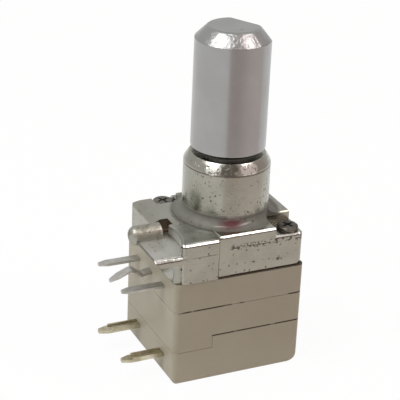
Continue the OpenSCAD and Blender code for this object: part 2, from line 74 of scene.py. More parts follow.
# %% Camera
PHOTO_SIDE = 400
TURN = math.radians(-25.626)
RISE = math.radians(24.464)
ROLL = math.radians(2.517)
LOOK_AT = Vector((-2.223, 0, 13.423)) * MM
DISTANCE = 115.701 * MM
FOCAL_PIXELS = 1451.586
SENSOR = 36


def camera_axes(turn, rise, roll):
    """Right, up and back of a camera or lamp that looks at the part."""
    outward = math.cos(rise)
    back = Vector((math.sin(turn) * outward, -math.cos(turn) * outward, math.sin(rise)))
    level = Vector((math.cos(turn), math.sin(turn), 0))
    above = back.cross(level)
    right = math.cos(roll) * level + math.sin(roll) * above
    up = math.cos(roll) * above - math.sin(roll) * level
    return right, up, back


right, up, back = camera_axes(TURN, RISE, ROLL)
camera_data = bpy.data.cameras.new("photo_camera")
camera_data.sensor_width = SENSOR
camera_data.lens = FOCAL_PIXELS * SENSOR / PHOTO_SIDE
camera_data.clip_start = 5 * MM
camera = bpy.data.objects.new("photo_camera", camera_data)
bpy.context.scene.collection.objects.link(camera)
axes = Matrix((right, up, back)).transposed().to_4x4()
camera.matrix_world = Matrix.Translation(LOOK_AT + back * DISTANCE) @ axes
bpy.context.scene.camera = camera
camera_place = [round(v / MM, 1) for v in camera.location]
print("lens", round(camera_data.lens, 1), "mm, camera at", camera_place)

# %% [markdown]
# ## Light and floor
#
# Product pictures of small metal parts are taken in a white tent: soft light from all sides, and
# two large lamps that give the faces their different levels. The tent here is a world that the
# camera sees as plain white. Its front right side is warmer and dimmer, as the faces on that side
# are in the photograph. The floor is white too, and keeps a faint shadow, because its white is
# mostly a glow that only the camera and reflections see.

# %% Helpers for node trees


def put(tree, kind, inputs=None, **settings):
    """Adds a node, sets it up, and joins or fills its inputs."""
    node = tree.nodes.new(kind)
    for key, value in settings.items():
        setattr(node, key, value)
    for key, value in (inputs or {}).items():
        socket = node.inputs[key]
        if isinstance(value, bpy.types.NodeSocket):
            tree.links.new(value, socket)
        else:
            socket.default_value = value
    return node


def math_node(tree, operation, first, second=0.0):
    """One step of arithmetic on values or sockets."""
    node = put(tree, "ShaderNodeMath", {0: first, 1: second}, operation=operation)
    return node.outputs["Value"]


def most(tree, *masks):
    """The largest of several masks."""
    result = masks[0]
    for mask in masks[1:]:
        result = math_node(tree, "MAXIMUM", result, mask)
    return result


def both(tree, *masks):
    """The product of several masks."""
    result = masks[0]
    for mask in masks[1:]:
        result = math_node(tree, "MULTIPLY", result, mask)
    return result


def seen_directly(tree):
    """1 for what the camera, a reflection or clear glass looks at, 0 for soft light."""
    path = put(tree, "ShaderNodeLightPath").outputs
    return most(tree, path["Is Camera Ray"], path["Is Glossy Ray"], path["Is Transmission Ray"])


def tint(tree, mask, first, second):
    """The first colour where the mask is 0 and the second where it is 1."""
    node = tree.nodes.new("ShaderNodeMix")
    node.data_type = "RGBA"
    tree.links.new(mask, node.inputs["Factor"])
    colours = [s for s in node.inputs if s.type == "RGBA"]
    for socket, value in zip(colours, (first, second)):
        if isinstance(value, bpy.types.NodeSocket):
            tree.links.new(value, socket)
        else:
            socket.default_value = (*value, 1)
    return [s for s in node.outputs if s.type == "RGBA"][0]


def ramp(tree, value, low, high, out_low=0.0, out_high=1.0):
    """A smooth step between two values."""
    node = put(
        tree,
        "ShaderNodeMapRange",
        {"Value": value, "From Min": low, "From Max": high, "To Min": out_low, "To Max": out_high},
        interpolation_type="SMOOTHSTEP",
    )
    return node.outputs["Result"]


# %% World
TENT_LIGHT = 0.5
TENT_MIRROR = 0.73
WARM_SIDE = (0.42, -0.91, 0.0)
WARM_FADE = (-0.2, 0.8)
WHITE = (1.0, 1.0, 1.0)
SOFT_WARM = (0.60, 0.42, 0.36)
MIRROR_WARM = (0.80, 0.68, 0.66)

bpy.context.scene.view_settings.view_transform = "Standard"
world = bpy.data.worlds.new("white_tent")
bpy.context.scene.world = world
world.use_nodes = True
tree = world.node_tree
tree.nodes.clear()
way = put(tree, "ShaderNodeTexCoord").outputs["Generated"]
facing = put(tree, "ShaderNodeVectorMath", {0: way, 1: WARM_SIDE}, operation="DOT_PRODUCT")
warm = ramp(tree, facing.outputs["Value"], *WARM_FADE)
soft_colour = tint(tree, warm, WHITE, SOFT_WARM)
mirror_colour = tint(tree, warm, WHITE, MIRROR_WARM)
soft = put(tree, "ShaderNodeBackground", {"Color": soft_colour, "Strength": TENT_LIGHT})
mirror = put(tree, "ShaderNodeBackground", {"Color": mirror_colour, "Strength": TENT_MIRROR})
white = put(tree, "ShaderNodeBackground", {"Color": (*WHITE, 1), "Strength": 1.0})
path = put(tree, "ShaderNodeLightPath").outputs
lit_inputs = {"Fac": path["Is Glossy Ray"], 1: soft.outputs[0], 2: mirror.outputs[0]}
lit = put(tree, "ShaderNodeMixShader", lit_inputs)
clear = most(tree, path["Is Camera Ray"], path["Is Transmission Ray"])
mix = put(tree, "ShaderNodeMixShader", {"Fac": clear, 1: lit.outputs[0], 2: white.outputs[0]})
put(tree, "ShaderNodeOutputWorld", {"Surface": mix.outputs[0]})
print("tent:", TENT_LIGHT, "as soft light,", TENT_MIRROR, "in reflections")

# %% Floor
FLOOR_SIDE = 2.0
FLOOR_GLOW = 0.95
PAPER_WHITE = 0.9

bm = bmesh.new()
bmesh.ops.create_grid(bm, x_segments=1, y_segments=1, size=FLOOR_SIDE / 2)
floor_mesh = bpy.data.meshes.new("floor")
bm.to_mesh(floor_mesh)
bm.free()
floor = bpy.data.objects.new("floor", floor_mesh)
bpy.context.scene.collection.objects.link(floor)
paper = bpy.data.materials.new("white_paper")
paper.use_nodes = True
tree = paper.node_tree
tree.nodes.clear()
matt = put(tree, "ShaderNodeBsdfDiffuse", {"Color": (*(PAPER_WHITE,) * 3, 1)})
glow = put(tree, "ShaderNodeEmission", {"Color": (*WHITE, 1), "Strength": 1.0})
share = math_node(tree, "MULTIPLY", seen_directly(tree), FLOOR_GLOW)
mix = put(tree, "ShaderNodeMixShader", {"Fac": share, 1: matt.outputs[0], 2: glow.outputs[0]})
put(tree, "ShaderNodeOutputMaterial", {"Surface": mix.outputs[0]})
floor_mesh.materials.append(paper)
floor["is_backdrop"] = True
print("floor:", FLOOR_SIDE, "m square")

# %% [markdown]
# The shaft and the boss mirror the floor in front of them, and the photograph shows a warm pinkish
# band there with a sharp left edge: something large and pinkish lay on the table at the front
# right. A card on the floor does the same. The camera can't see it, it throws no shadow, and as
# soft light it is weaker than as a reflection.

# %% Warm card
CARD_TURNS = (-31, 80)
CARD_REACH = (9 * MM, 150 * MM)
CARD_STEPS = 24
CARD_HEIGHT = 0.3 * MM
CARD_SOFT = 0.7
CARD_NEAR = (0.90, 0.84, 0.81)
CARD_FAR_LEFT = (0.63, 0.545, 0.51)
CARD_FAR_RIGHT = (0.86, 0.77, 0.74)
CARD_FADE = (26 * MM, 46 * MM)
NO_HEIGHT = (1, 1, 0)

bm = bmesh.new()
rows = []
for n in range(CARD_STEPS + 1):
    angle = math.radians(CARD_TURNS[0] + (CARD_TURNS[1] - CARD_TURNS[0]) * n / CARD_STEPS)
    ways = (math.sin(angle), -math.cos(angle))
    rows.append([bm.verts.new((r * ways[0], r * ways[1], CARD_HEIGHT)) for r in CARD_REACH])
for one, two in zip(rows, rows[1:]):
    bm.faces.new((one[0], one[1], two[1], two[0]))
bmesh.ops.recalc_face_normals(bm, faces=bm.faces[:])
if sum(f.normal.z for f in bm.faces) < 0:
    bmesh.ops.reverse_faces(bm, faces=bm.faces[:])
card_mesh = bpy.data.meshes.new("warm_card")
bm.to_mesh(card_mesh)
bm.free()
card = bpy.data.objects.new("warm_card", card_mesh)
bpy.context.scene.collection.objects.link(card)
card.visible_camera = False
card.visible_shadow = False
card.visible_transmission = False

sheet = bpy.data.materials.new("pinkish_sheet")
sheet.use_nodes = True
tree = sheet.node_tree
tree.nodes.clear()
spot = put(tree, "ShaderNodeTexCoord").outputs["Object"]
flat = put(tree, "ShaderNodeVectorMath", {0: spot, 1: NO_HEIGHT}, operation="MULTIPLY")
length = put(tree, "ShaderNodeVectorMath", {0: flat.outputs["Vector"]}, operation="LENGTH")
reach = length.outputs["Value"]
across = put(tree, "ShaderNodeSeparateXYZ", {"Vector": spot}).outputs["X"]
sideways = math_node(tree, "DIVIDE", across, reach)
to_right = ramp(tree, sideways, -0.15, 0.75)
far_tone = tint(tree, to_right, CARD_FAR_LEFT, CARD_FAR_RIGHT)
tone = tint(tree, ramp(tree, reach, *CARD_FADE), CARD_NEAR, far_tone)
mirrored = put(tree, "ShaderNodeLightPath").outputs["Is Glossy Ray"]
strength = ramp(tree, mirrored, 0.0, 1.0, CARD_SOFT, 1.0)
shine = put(tree, "ShaderNodeEmission", {"Color": tone, "Strength": strength})
nothing = put(tree, "ShaderNodeBsdfTransparent")
behind = put(tree, "ShaderNodeNewGeometry").outputs["Backfacing"]
mix = put(tree, "ShaderNodeMixShader", {"Fac": behind, 1: shine.outputs[0], 2: nothing.outputs[0]})
put(tree, "ShaderNodeOutputMaterial", {"Surface": mix.outputs[0]})
card_mesh.materials.append(sheet)
card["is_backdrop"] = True
print("card faces up:", all(f.normal.z > 0 for f in card_mesh.polygons))

# %% Lamps


def lamp(name, turn, rise, distance, side, watts, colour=(1, 1, 1)):
    """A square soft box that faces the middle of the part."""
    data = bpy.data.lights.new(name, "AREA")
    data.shape = "SQUARE"
    data.size = side
    data.energy = watts
    data.color = colour
    light = bpy.data.objects.new(name, data)
    bpy.context.scene.collection.objects.link(light)
    ways = camera_axes(math.radians(turn), math.radians(rise), 0)
    middle = (cad_low + cad_high) / 2
    light.matrix_world = (
        Matrix.Translation(middle + ways[2] * distance) @ Matrix(ways).transposed().to_4x4()
    )


lamp("window_left", turn=-84, rise=58, distance=0.40, side=0.25, watts=0.90)
lamp(
    "soft_box_right",
    turn=52,
    rise=51,
    distance=0.40,
    side=0.18,
    watts=0.42,
    colour=(1.0, 0.93, 0.90),
)

# %% [markdown]
# ## Effects that several finishes share
#
# Cast metal, moulded plastic and plated brass all vary a little over their surface. Each effect
# is a node group with named sockets: clouds of tone, small pits, fine scratches, a local patch, a
# broken line at one height, and rings about the shaft's axis. Every group works in Object
# coordinates, so a pattern stays fixed to its piece from any side. One group placed in many
# materials keeps the finishes related and quick to change.

# %% Group helper


def effect(name, sockets, outputs):
    """Starts a node group with its inputs and outputs, and returns the tree and both ends."""
    group = bpy.data.node_groups.new(name, "ShaderNodeTree")
    for label, kind, value in sockets:
        socket = group.interface.new_socket(name=label, in_out="INPUT", socket_type=kind)
        if value is not None:
            socket.default_value = value
    for label, kind in outputs:
        group.interface.new_socket(name=label, in_out="OUTPUT", socket_type=kind)
    return group, group.nodes.new("NodeGroupInput"), group.nodes.new("NodeGroupOutput")


VECTOR = "NodeSocketVector"
FLOAT = "NodeSocketFloat"


# %% Clouds of tone
clouds, start, end = effect(
    "clouds",
    [
        ("Vector", VECTOR, None),
        ("Per metre", FLOAT, 300.0),
        ("Low", FLOAT, 0.35),
        ("High", FLOAT, 0.65),
    ],
    [("Mask", FLOAT)],
)
noise_inputs = {"Vector": start.outputs["Vector"], "Scale": start.outputs["Per metre"]}
noise_inputs.update({"Detail": 4.0, "Roughness": 0.6})
noise = put(clouds, "ShaderNodeTexNoise", noise_inputs)
spread = ramp(clouds, noise.outputs["Fac"], start.outputs["Low"], start.outputs["High"])
clouds.links.new(spread, end.inputs["Mask"])

# %% Small pits
WOBBLE_PER_METRE = 5000.0
NOISE_MIDDLE = (0.5, 0.5, 0.5)

pits, start, end = effect(
    "pits",
    [
        ("Vector", VECTOR, None),
        ("Per metre", FLOAT, 2500.0),
        ("Size", FLOAT, 0.3),
        ("Share", FLOAT, 0.2),
        ("Ragged", FLOAT, 0.0002),
    ],
    [("Mask", FLOAT)],
)
wobble = put(
    pits,
    "ShaderNodeTexNoise",
    {"Vector": start.outputs["Vector"], "Scale": WOBBLE_PER_METRE, "Detail": 1.0},
)
around = put(
    pits,
    "ShaderNodeVectorMath",
    {0: wobble.outputs["Color"], 1: NOISE_MIDDLE},
    operation="SUBTRACT",
)
pushed = put(
    pits,
    "ShaderNodeVectorMath",
    {0: around.outputs["Vector"], "Scale": start.outputs["Ragged"]},
    operation="SCALE",
)
ragged = put(
    pits,
    "ShaderNodeVectorMath",
    {0: start.outputs["Vector"], 1: pushed.outputs["Vector"]},
    operation="ADD",
)
cells = put(
    pits,
    "ShaderNodeTexVoronoi",
    {"Vector": ragged.outputs["Vector"], "Scale": start.outputs["Per metre"], "Randomness": 1.0},
)
depth = ramp(pits, cells.outputs["Distance"], start.outputs["Size"], 0.0)
lucky = put(pits, "ShaderNodeSeparateColor", {"Color": cells.outputs["Color"]}).outputs["Red"]
kept = math_node(pits, "LESS_THAN", lucky, start.outputs["Share"])
pits.links.new(math_node(pits, "MULTIPLY", depth, kept), end.inputs["Mask"])

# %% Fine scratches
DRAWN_OUT = (1, 18, 18)
RISE_OF_MASK = 0.05

scratches, start, end = effect(
    "scratches",
    [
        ("Vector", VECTOR, None),
        ("Turn", VECTOR, (0, 0, 0)),
        ("Per metre", FLOAT, 400.0),
        ("Low", FLOAT, 0.64),
    ],
    [("Mask", FLOAT)],
)
drawn_out = put(
    scratches,
    "ShaderNodeMapping",
    {"Vector": start.outputs["Vector"], "Rotation": start.outputs["Turn"], "Scale": DRAWN_OUT},
)
streak = put(
    scratches,
    "ShaderNodeTexNoise",
    {"Vector": drawn_out.outputs["Vector"], "Scale": start.outputs["Per metre"], "Detail": 2.0},
)
top = math_node(scratches, "ADD", start.outputs["Low"], RISE_OF_MASK)
line = ramp(scratches, streak.outputs["Fac"], start.outputs["Low"], top)
scratches.links.new(line, end.inputs["Mask"])

# %% A local patch
patch, start, end = effect(
    "patch",
    [
        ("Vector", VECTOR, None),
        ("Centre", VECTOR, (0, 0, 0)),
        ("Reach", VECTOR, (1, 1, 1)),
        ("Soft", FLOAT, 0.7),
    ],
    [("Mask", FLOAT)],
)
away = put(
    patch,
    "ShaderNodeVectorMath",
    {0: start.outputs["Vector"], 1: start.outputs["Centre"]},
    operation="SUBTRACT",
)
scaled = put(
    patch,
    "ShaderNodeVectorMath",
    {0: away.outputs["Vector"], 1: start.outputs["Reach"]},
    operation="DIVIDE",
)
far = put(patch, "ShaderNodeVectorMath", {0: scaled.outputs["Vector"]}, operation="LENGTH")
core = math_node(patch, "SUBTRACT", 1.0, start.outputs["Soft"])
inside = ramp(patch, far.outputs["Value"], 1.0, core)
patch.links.new(inside, end.inputs["Mask"])

# %% A level line, such as painted shade in a joint
LINE_CORE = 0.4
LINE_RISE = 0.12

level_line, start, end = effect(
    "level_line",
    [
        ("Vector", VECTOR, None),
        ("Level", FLOAT, 0.0),
        ("Half width", FLOAT, 0.0001),
        ("Per metre", FLOAT, 600.0),
        ("Low", FLOAT, 0.3),
    ],
    [("Mask", FLOAT)],
)
height = put(level_line, "ShaderNodeSeparateXYZ", {"Vector": start.outputs["Vector"]}).outputs["Z"]
above = math_node(level_line, "SUBTRACT", height, start.outputs["Level"])
off = math_node(level_line, "ABSOLUTE", above)
inner = math_node(level_line, "MULTIPLY", start.outputs["Half width"], LINE_CORE)
near = ramp(level_line, off, start.outputs["Half width"], inner)
noise = put(
    level_line,
    "ShaderNodeTexNoise",
    {"Vector": start.outputs["Vector"], "Scale": start.outputs["Per metre"], "Detail": 3.0},
)
top = math_node(level_line, "ADD", start.outputs["Low"], LINE_RISE)
broken = ramp(level_line, noise.outputs["Fac"], start.outputs["Low"], top)
level_line.links.new(math_node(level_line, "MULTIPLY", near, broken), end.inputs["Mask"])

# %% Rings about the shaft's axis
RING_WANDER = 0.10

rings, start, end = effect(
    "rings",
    [("Vector", VECTOR, None), ("Per metre", FLOAT, 3000.0), ("Low", FLOAT, 0.6)],
    [("Mask", FLOAT)],
)
vector = start.outputs["Vector"]
flat = put(rings, "ShaderNodeVectorMath", {0: vector, 1: NO_HEIGHT}, operation="MULTIPLY")
length = put(rings, "ShaderNodeVectorMath", {0: flat.outputs["Vector"]}, operation="LENGTH")
slow = put(rings, "ShaderNodeVectorMath", {0: vector, "Scale": RING_WANDER}, operation="SCALE")
shifted = put(
    rings,
    "ShaderNodeCombineXYZ",
    {"X": length.outputs["Value"], "Y": 0.0, "Z": 0.0},
)
place_in = put(
    rings,
    "ShaderNodeVectorMath",
    {0: shifted.outputs["Vector"], 1: slow.outputs["Vector"]},
    operation="ADD",
)
grooves = put(
    rings,
    "ShaderNodeTexNoise",
    {"Vector": place_in.outputs["Vector"], "Scale": start.outputs["Per metre"], "Detail": 1.0},
)
top = math_node(rings, "ADD", start.outputs["Low"], RISE_OF_MASK)
rings.links.new(ramp(rings, grooves.outputs["Fac"], start.outputs["Low"], top), end.inputs["Mask"])
print("shared effects:", [g.name for g in bpy.data.node_groups])

# %% [markdown]
# ## Finishes
#
# A finish is one Principled shader with its plain numbers set on its own sockets, and the groups
# feed only its colour, metal share, roughness and bump. Depths of bump are real depths in
# microns.

# %% Finish helpers
MICRON = 0.001 * MM


def finish_sheet(name, colour, rough, metal=0.0):
    """A new material, its tree, its shader and its Object coordinates."""
    material = bpy.data.materials.new(name)
    material.use_nodes = True
    tree = material.node_tree
    tree.nodes.clear()
    inputs = {"Base Color": (*colour, 1), "Roughness": rough, "Metallic": metal}
    shader = put(tree, "ShaderNodeBsdfPrincipled", inputs)
    put(tree, "ShaderNodeOutputMaterial", {"Surface": shader.outputs["BSDF"]})
    place = put(tree, "ShaderNodeTexCoord").outputs["Object"]
    return material, tree, shader, place


def use(tree, group, inputs):
    """Places a group in the tree and returns its mask."""
    node = put(tree, "ShaderNodeGroup", node_tree=group)
    for key, value in inputs.items():
        if isinstance(value, bpy.types.NodeSocket):
            tree.links.new(value, node.inputs[key])
        else:
            node.inputs[key].default_value = value
    return node.outputs["Mask"]


def relief(tree, heights):
    """One Bump after another: each pair is a height mask and its real depth in microns."""
    normal = None
    for mask, depth in heights:
        inputs = {"Height": mask, "Distance": abs(depth) * MICRON, "Strength": 1.0}
        if normal is not None:
            inputs["Normal"] = normal
        node = put(tree, "ShaderNodeBump", inputs, invert=depth < 0)
        normal = node.outputs["Normal"]
    return normal


def part_of(tree, mask, share):
    """The mask at a share of its strength."""
    return math_node(tree, "MULTIPLY", mask, share)


def mist(tree, place, per_metre, low, high):
    """Clouds with their own scale and contrast."""
    values = {"Per metre": per_metre, "Low": low, "High": high}
    return use(tree, clouds, {"Vector": place, **values})


def specks(tree, place, per_metre, size, share, ragged=0.0002):
    """Pits with their own scale, size, number and raggedness."""
    values = {"Per metre": per_metre, "Size": size, "Share": share, "Ragged": ragged}
    return use(tree, pits, {"Vector": place, **values})


# %% [markdown]
# The next helpers place a mask on the part, with every length in mm: a step along one measure, a
# stretch between two ends, a soft round spot, and a broken line at one height.

# %% Helpers for places


def step(tree, measure, start, end):
    """Grows from 0 at the start to 1 at the end."""
    return ramp(tree, measure, start * MM, end * MM)


def stretch(tree, measure, start, end, fade):
    """1 from the start to the end, with the same fade beyond both."""
    opening = step(tree, measure, start - fade, start)
    closing = step(tree, measure, end + fade, end)
    return both(tree, opening, closing)


def spot_at(tree, place, centre, reach, soft):
    """A round spot that fades over the soft share of its reach."""
    values = {
        "Centre": tuple(v * MM for v in centre),
        "Reach": tuple(v * MM for v in reach),
        "Soft": soft,
    }
    return use(tree, patch, {"Vector": place, **values})


def line_at(tree, place, level, half_width, per_metre, low):
    """A level line; the higher its low is, the more broken it is."""
    values = {"Level": level * MM, "Half width": half_width * MM}
    values.update({"Per metre": per_metre, "Low": low})
    return use(tree, level_line, {"Vector": place, **values})


# %% [markdown]
# The casting carries most of the marks. First its places get names: the front wall with its
# stretches, the boss with its bevel and foot, the board foot's rim, the pocket beside the peg,
# the peg, and the scooped wall.

# %% Cast zinc: places
cast_zinc, tree, shader, place = finish_sheet("cast_zinc_skin", (0.355, 0.345, 0.295), 0.16, 1.0)
split = put(tree, "ShaderNodeSeparateXYZ", {"Vector": place}).outputs
x, y, z = split["X"], split["Y"], split["Z"]
axial = put(tree, "ShaderNodeVectorMath", {0: place, 1: NO_HEIGHT}, operation="MULTIPLY")
length = put(tree, "ShaderNodeVectorMath", {0: axial.outputs["Vector"]}, operation="LENGTH")

on_front = step(tree, y, -4.55, -4.7)
left_wall = step(tree, x, -2.7, -3.1)
right_wall = step(tree, x, -1.9, -1.4)
low_right = both(tree, step(tree, x, 0.1, 0.3), step(tree, x, 3.3, 3.0))
on_boss = both(tree, step(tree, z, 13.0, 13.4), step(tree, z, 16.7, 16.4))
boss_bevel = step(tree, z, 16.55, 16.65)
boss_foot = both(
    tree,
    step(tree, length.outputs["Value"], 4.6, 4.2),
    step(tree, z, 13.35, 13.05),
    step(tree, z, 12.1, 12.2),
)
# the foot's left end at the front, which gets a painted shade
foot_rim_shade = both(tree, step(tree, x, -7.98, -8.05), step(tree, y, -1.3, -1.5))
pocket = spot_at(tree, place, (-5.25, 0.2, 11.55), (0.7, 0.5, 0.7), 0.5)
peg = spot_at(tree, place, (-7.2, -0.6, 11.5), (1.9, 1.2, 1.2), 0.3)
scoop = spot_at(tree, place, (-5.5, -2.4, 11.7), (1.0, 3.0, 0.9), 0.4)
print("nodes that name the casting's places:", len(tree.nodes))

# %% [markdown]
# Then the marks: pits all over, smaller and curled ones on the boss, a scored crease on the right
# stretch of the wall with a shorter one below it, and the parting line of the mould on the left
# stretch. Painted shade lies in the joint to the upper wafer, and in a dark line under the boss's
# bevel.

# %% Cast zinc: marks
tone = mist(tree, place, 420.0, 0.3, 0.7)
finer = specks(tree, place, 3600.0, 0.3, 0.2, 0.0005)
curls = specks(tree, place, 1500.0, 0.24, 0.3, 0.0011)
pitting = most(
    tree,
    specks(tree, place, 2700.0, 0.32, 0.28),
    both(tree, most(tree, finer, curls), on_boss),
)
marks = use(
    tree,
    scratches,
    {"Vector": place, "Turn": (0.3, 0.2, 0.5), "Per metre": 300.0, "Low": 0.66},
)
flecks = line_at(tree, place, 11.26, 0.32, 3600.0, 0.49)
scored = line_at(tree, place, 11.17, 0.07, 900.0, 0.4)
lower = line_at(tree, place, 9.68, 0.2, 3200.0, 0.52)
crease = most(
    tree,
    both(tree, most(tree, flecks, scored), on_front, right_wall),
    both(tree, lower, on_front, low_right),
)
parting = both(tree, line_at(tree, place, 11.03, 0.06, 900.0, 0.3), on_front, left_wall)
# painted shade in the joint to the upper wafer
joint_shade = both(tree, line_at(tree, place, 8.83, 0.14, 600.0, 0.2), right_wall)
# painted shade: a dark line under the boss's bevel
bevel_shade_line = line_at(tree, place, 16.6, 0.1, 700.0, 0.3)
print("nodes with the casting's marks:", len(tree.nodes))

# %% [markdown]
# The four edges that face the front get a painted highlight on their break, and a thin painted
# shade right under each. An edge is its top level, the width of its break, and its two ends along
# the wall.

# %% Cast zinc: painted highlights and shade on the front edges
FRONT_EDGES = (
    (12.36, 0.12, -2.6, 2.2),
    (11.64, 0.12, 2.3, 4.8),
    (12.20, 0.12, -5.9, -2.7),
    (11.25, 0.16, -8.2, -5.9),
)
EDGE_FADE = 0.05
SHADE_BELOW = 0.06
SHADE_HALF = 0.07
GLINT_BELOW = 0.3

shades = []
painted_glints = []
for top, wide, from_x, to_x in FRONT_EDGES:
    span = both(tree, on_front, stretch(tree, x, from_x, to_x, EDGE_FADE))
    # painted shade under each break, and a painted highlight on the break itself
    shade = line_at(tree, place, top - wide - SHADE_BELOW, SHADE_HALF, 900.0, 0.25)
    painted_glint = line_at(tree, place, top - wide * GLINT_BELOW, wide, 2200.0, 0.36)
    shades.append(both(tree, shade, span))
    painted_glints.append(both(tree, painted_glint, span))
print("worn edges:", len(painted_glints))

# %% [markdown]
# Handling has left a dull skin on the deck's corner, the board foot and the scooped wall, where
# the metal mirrors less, and their colour there is a painted reflection: darker on the deck's
# corner, lighter on the foot and the scooped wall. A red stain lies on the boss's foot, with
# smoother arcs beside it that carry a painted highlight. The bevel of the boss carries a painted
# reflection: two bright patches with a dark one between them, broken up by clouds. A spot is its
# centre, its reach and its colour.

# %% Cast zinc: skin with painted reflection, stain, and painted reflections on the bevel
# dull spots whose colours are painted reflection: darker on the deck's corner, lighter on the foot
# and the scooped wall
SKIN_AND_REFLECTION = (
    ((-4.2, -3.4, 12.2), (1.9, 2.4, 0.35), (0.225, 0.235, 0.205)),
    ((-6.9, -3.0, 11.25), (2.3, 2.9, 0.30), (0.44, 0.44, 0.405)),
    ((-5.4, -2.4, 11.7), (1.0, 2.7, 0.44), (0.54, 0.54, 0.50)),
)
# painted reflections on the boss's bevel: a dark patch and two bright ones
BEVEL_REFLECTIONS = (
    ((-1.25, -3.0, 17.0), (1.0, 0.8, 0.75), (0.15, 0.15, 0.125)),
    ((-2.3, -2.3, 17.0), (0.75, 0.75, 0.65), (0.85, 0.84, 0.77)),
    ((0.3, -3.2, 17.0), (0.95, 0.75, 0.65), (0.75, 0.74, 0.68)),
)
SKIN_SOFT = 0.4
BEVEL_SOFT = 0.35

skin_and_reflection_spots = [spot_at(tree, place, centre, reach, SKIN_SOFT) for centre, reach, _ in SKIN_AND_REFLECTION]
skin = both(
    tree,
    most(tree, *skin_and_reflection_spots),
    step(tree, y, -4.84, -4.78),
    ramp(tree, tone, 1.4, 0.0),
)
# clouds that break up the painted reflections on the bevel
reflection_breakup = mist(tree, place, 2600.0, 0.40, 0.50)
bevel_reflection_spots = [
    both(tree, spot_at(tree, place, centre, reach, BEVEL_SOFT), boss_bevel, reflection_breakup)
    for centre, reach, _ in BEVEL_REFLECTIONS
]
stain = spot_at(tree, place, (-1.15, -3.6, 12.72), (1.6, 1.1, 0.62), 0.75)
# arcs beside the stain: smoother, slightly raised, and given a painted highlight
smooth_glint_arcs = both(
    tree,
    use(tree, rings, {"Vector": place, "Per metre": 3500.0, "Low": 0.56}),
    spot_at(tree, place, (-2.2, -3.4, 12.6), (3.4, 1.8, 0.8), 0.5),
    math_node(tree, "SUBTRACT", 1.0, stain),
)
stained = most(tree, part_of(tree, stain, 0.85), part_of(tree, skin, 0.6))
tree.links.new(math_node(tree, "SUBTRACT", 1.0, stained), shader.inputs["Metallic"])
print("spots of skin:", len(skin_and_reflection_spots), "and on the bevel:", len(bevel_reflection_spots))

# %% [markdown]
# The colour is built like paint, in layers, and a later one lies over an earlier one. Each layer
# has a mask, how much of it covers, and its own colour. Two are only made here: a painted dark
# reflection on the left of the boss, and painted shade in dark brown clouds round the peg.

# %% Cast zinc: layers of colour
# a painted dark reflection on the left of the boss
painted_dark_reflection = spot_at(tree, place, (-3.26, -1.2, 14.1), (1.1, 0.95, 1.25), 0.7)
# painted shade, in dark brown clouds round the peg
peg_painted_shade = both(tree, peg, mist(tree, place, 1500.0, 0.52, 0.62), ramp(tree, tone, -0.6, 1.0))
# painted shade darkens the boss's foot
layers = [(boss_foot, 0.9, (0.235, 0.232, 0.205)), (painted_dark_reflection, 0.8, (0.15, 0.155, 0.12))]
# painted reflection in the dull spots
layers += [(mask, 1.0, entry[2]) for mask, entry in zip(skin_and_reflection_spots, SKIN_AND_REFLECTION)]
layers += [
    (stain, 1.0, (0.12, 0.04, 0.045)),
    # painted highlight on the arcs
    (smooth_glint_arcs, 0.7, (0.62, 0.61, 0.58)),
    (pocket, 1.0, (0.40, 0.33, 0.27)),
    # painted shade round the peg
    (peg_painted_shade, 1.0, (0.17, 0.145, 0.11)),
]
# painted reflections on the boss's bevel
layers += [(mask, 1.0, entry[2]) for mask, entry in zip(bevel_reflection_spots, BEVEL_REFLECTIONS)]
layers += [
    # painted shade under the boss's bevel
    (bevel_shade_line, 0.75, (0.10, 0.075, 0.07)),
    # real creases and pits, with painted shade in the joint
    (most(tree, crease, joint_shade, pitting), 0.85, (0.06, 0.05, 0.04)),
    (parting, 0.5, (0.10, 0.07, 0.06)),
    # painted shade on the foot's left end
    (foot_rim_shade, 0.8, (0.10, 0.095, 0.075)),
    # painted highlights on the front edges, and painted shade under them
    (most(tree, *painted_glints), 1.0, (0.72, 0.71, 0.67)),
    (most(tree, *shades), 0.75, (0.07, 0.045, 0.04)),
]
colour = tint(tree, tone, (0.375, 0.365, 0.312), (0.335, 0.325, 0.278))
for mask, cover, layer in layers:
    colour = tint(tree, part_of(tree, mask, cover), colour, layer)
tree.links.new(colour, shader.inputs["Base Color"])
print("layers on the casting:", len(layers))

# %% [markdown]
# The peg, its pocket, the scooped wall, the dull skin and above all the boss's foot are rougher,
# and the boss's top and the highlight arcs are smoother. The relief is a slow swell of the cast
# skin with a fine grain over it. The pits, scratches and creases go in, and the arcs stand out.

# %% Cast zinc: polish and relief
satin = most(tree, peg, scoop, boss_foot, pocket, skin)
rough = ramp(tree, tone, 0.0, 1.0, 0.17, 0.27)
for mask, change in (
    (satin, 0.25),
    (boss_foot, 0.3),
    (step(tree, z, 16.45, 16.6), -0.06),
    (smooth_glint_arcs, -0.35),
):
    rough = math_node(tree, "ADD", rough, part_of(tree, mask, change))
tree.links.new(rough, shader.inputs["Roughness"])
fine = mist(tree, place, 3500.0, 0.2, 0.8)
heights = (
    (mist(tree, place, 700.0, 0.2, 0.8), 14),
    (fine, 4),
    (both(tree, fine, peg), 20),
    (pitting, -30),
    (marks, -10),
    (crease, -30),
    (smooth_glint_arcs, 10),
)
tree.links.new(relief(tree, heights), shader.inputs["Normal"])
print(cast_zinc.name, "has", len(heights), "heights and", len(tree.nodes), "nodes")

# %% [markdown]
# The shaft is turned and polished. It has only faint clouds, a few nicks, and a crumpled bevel at
# its end.

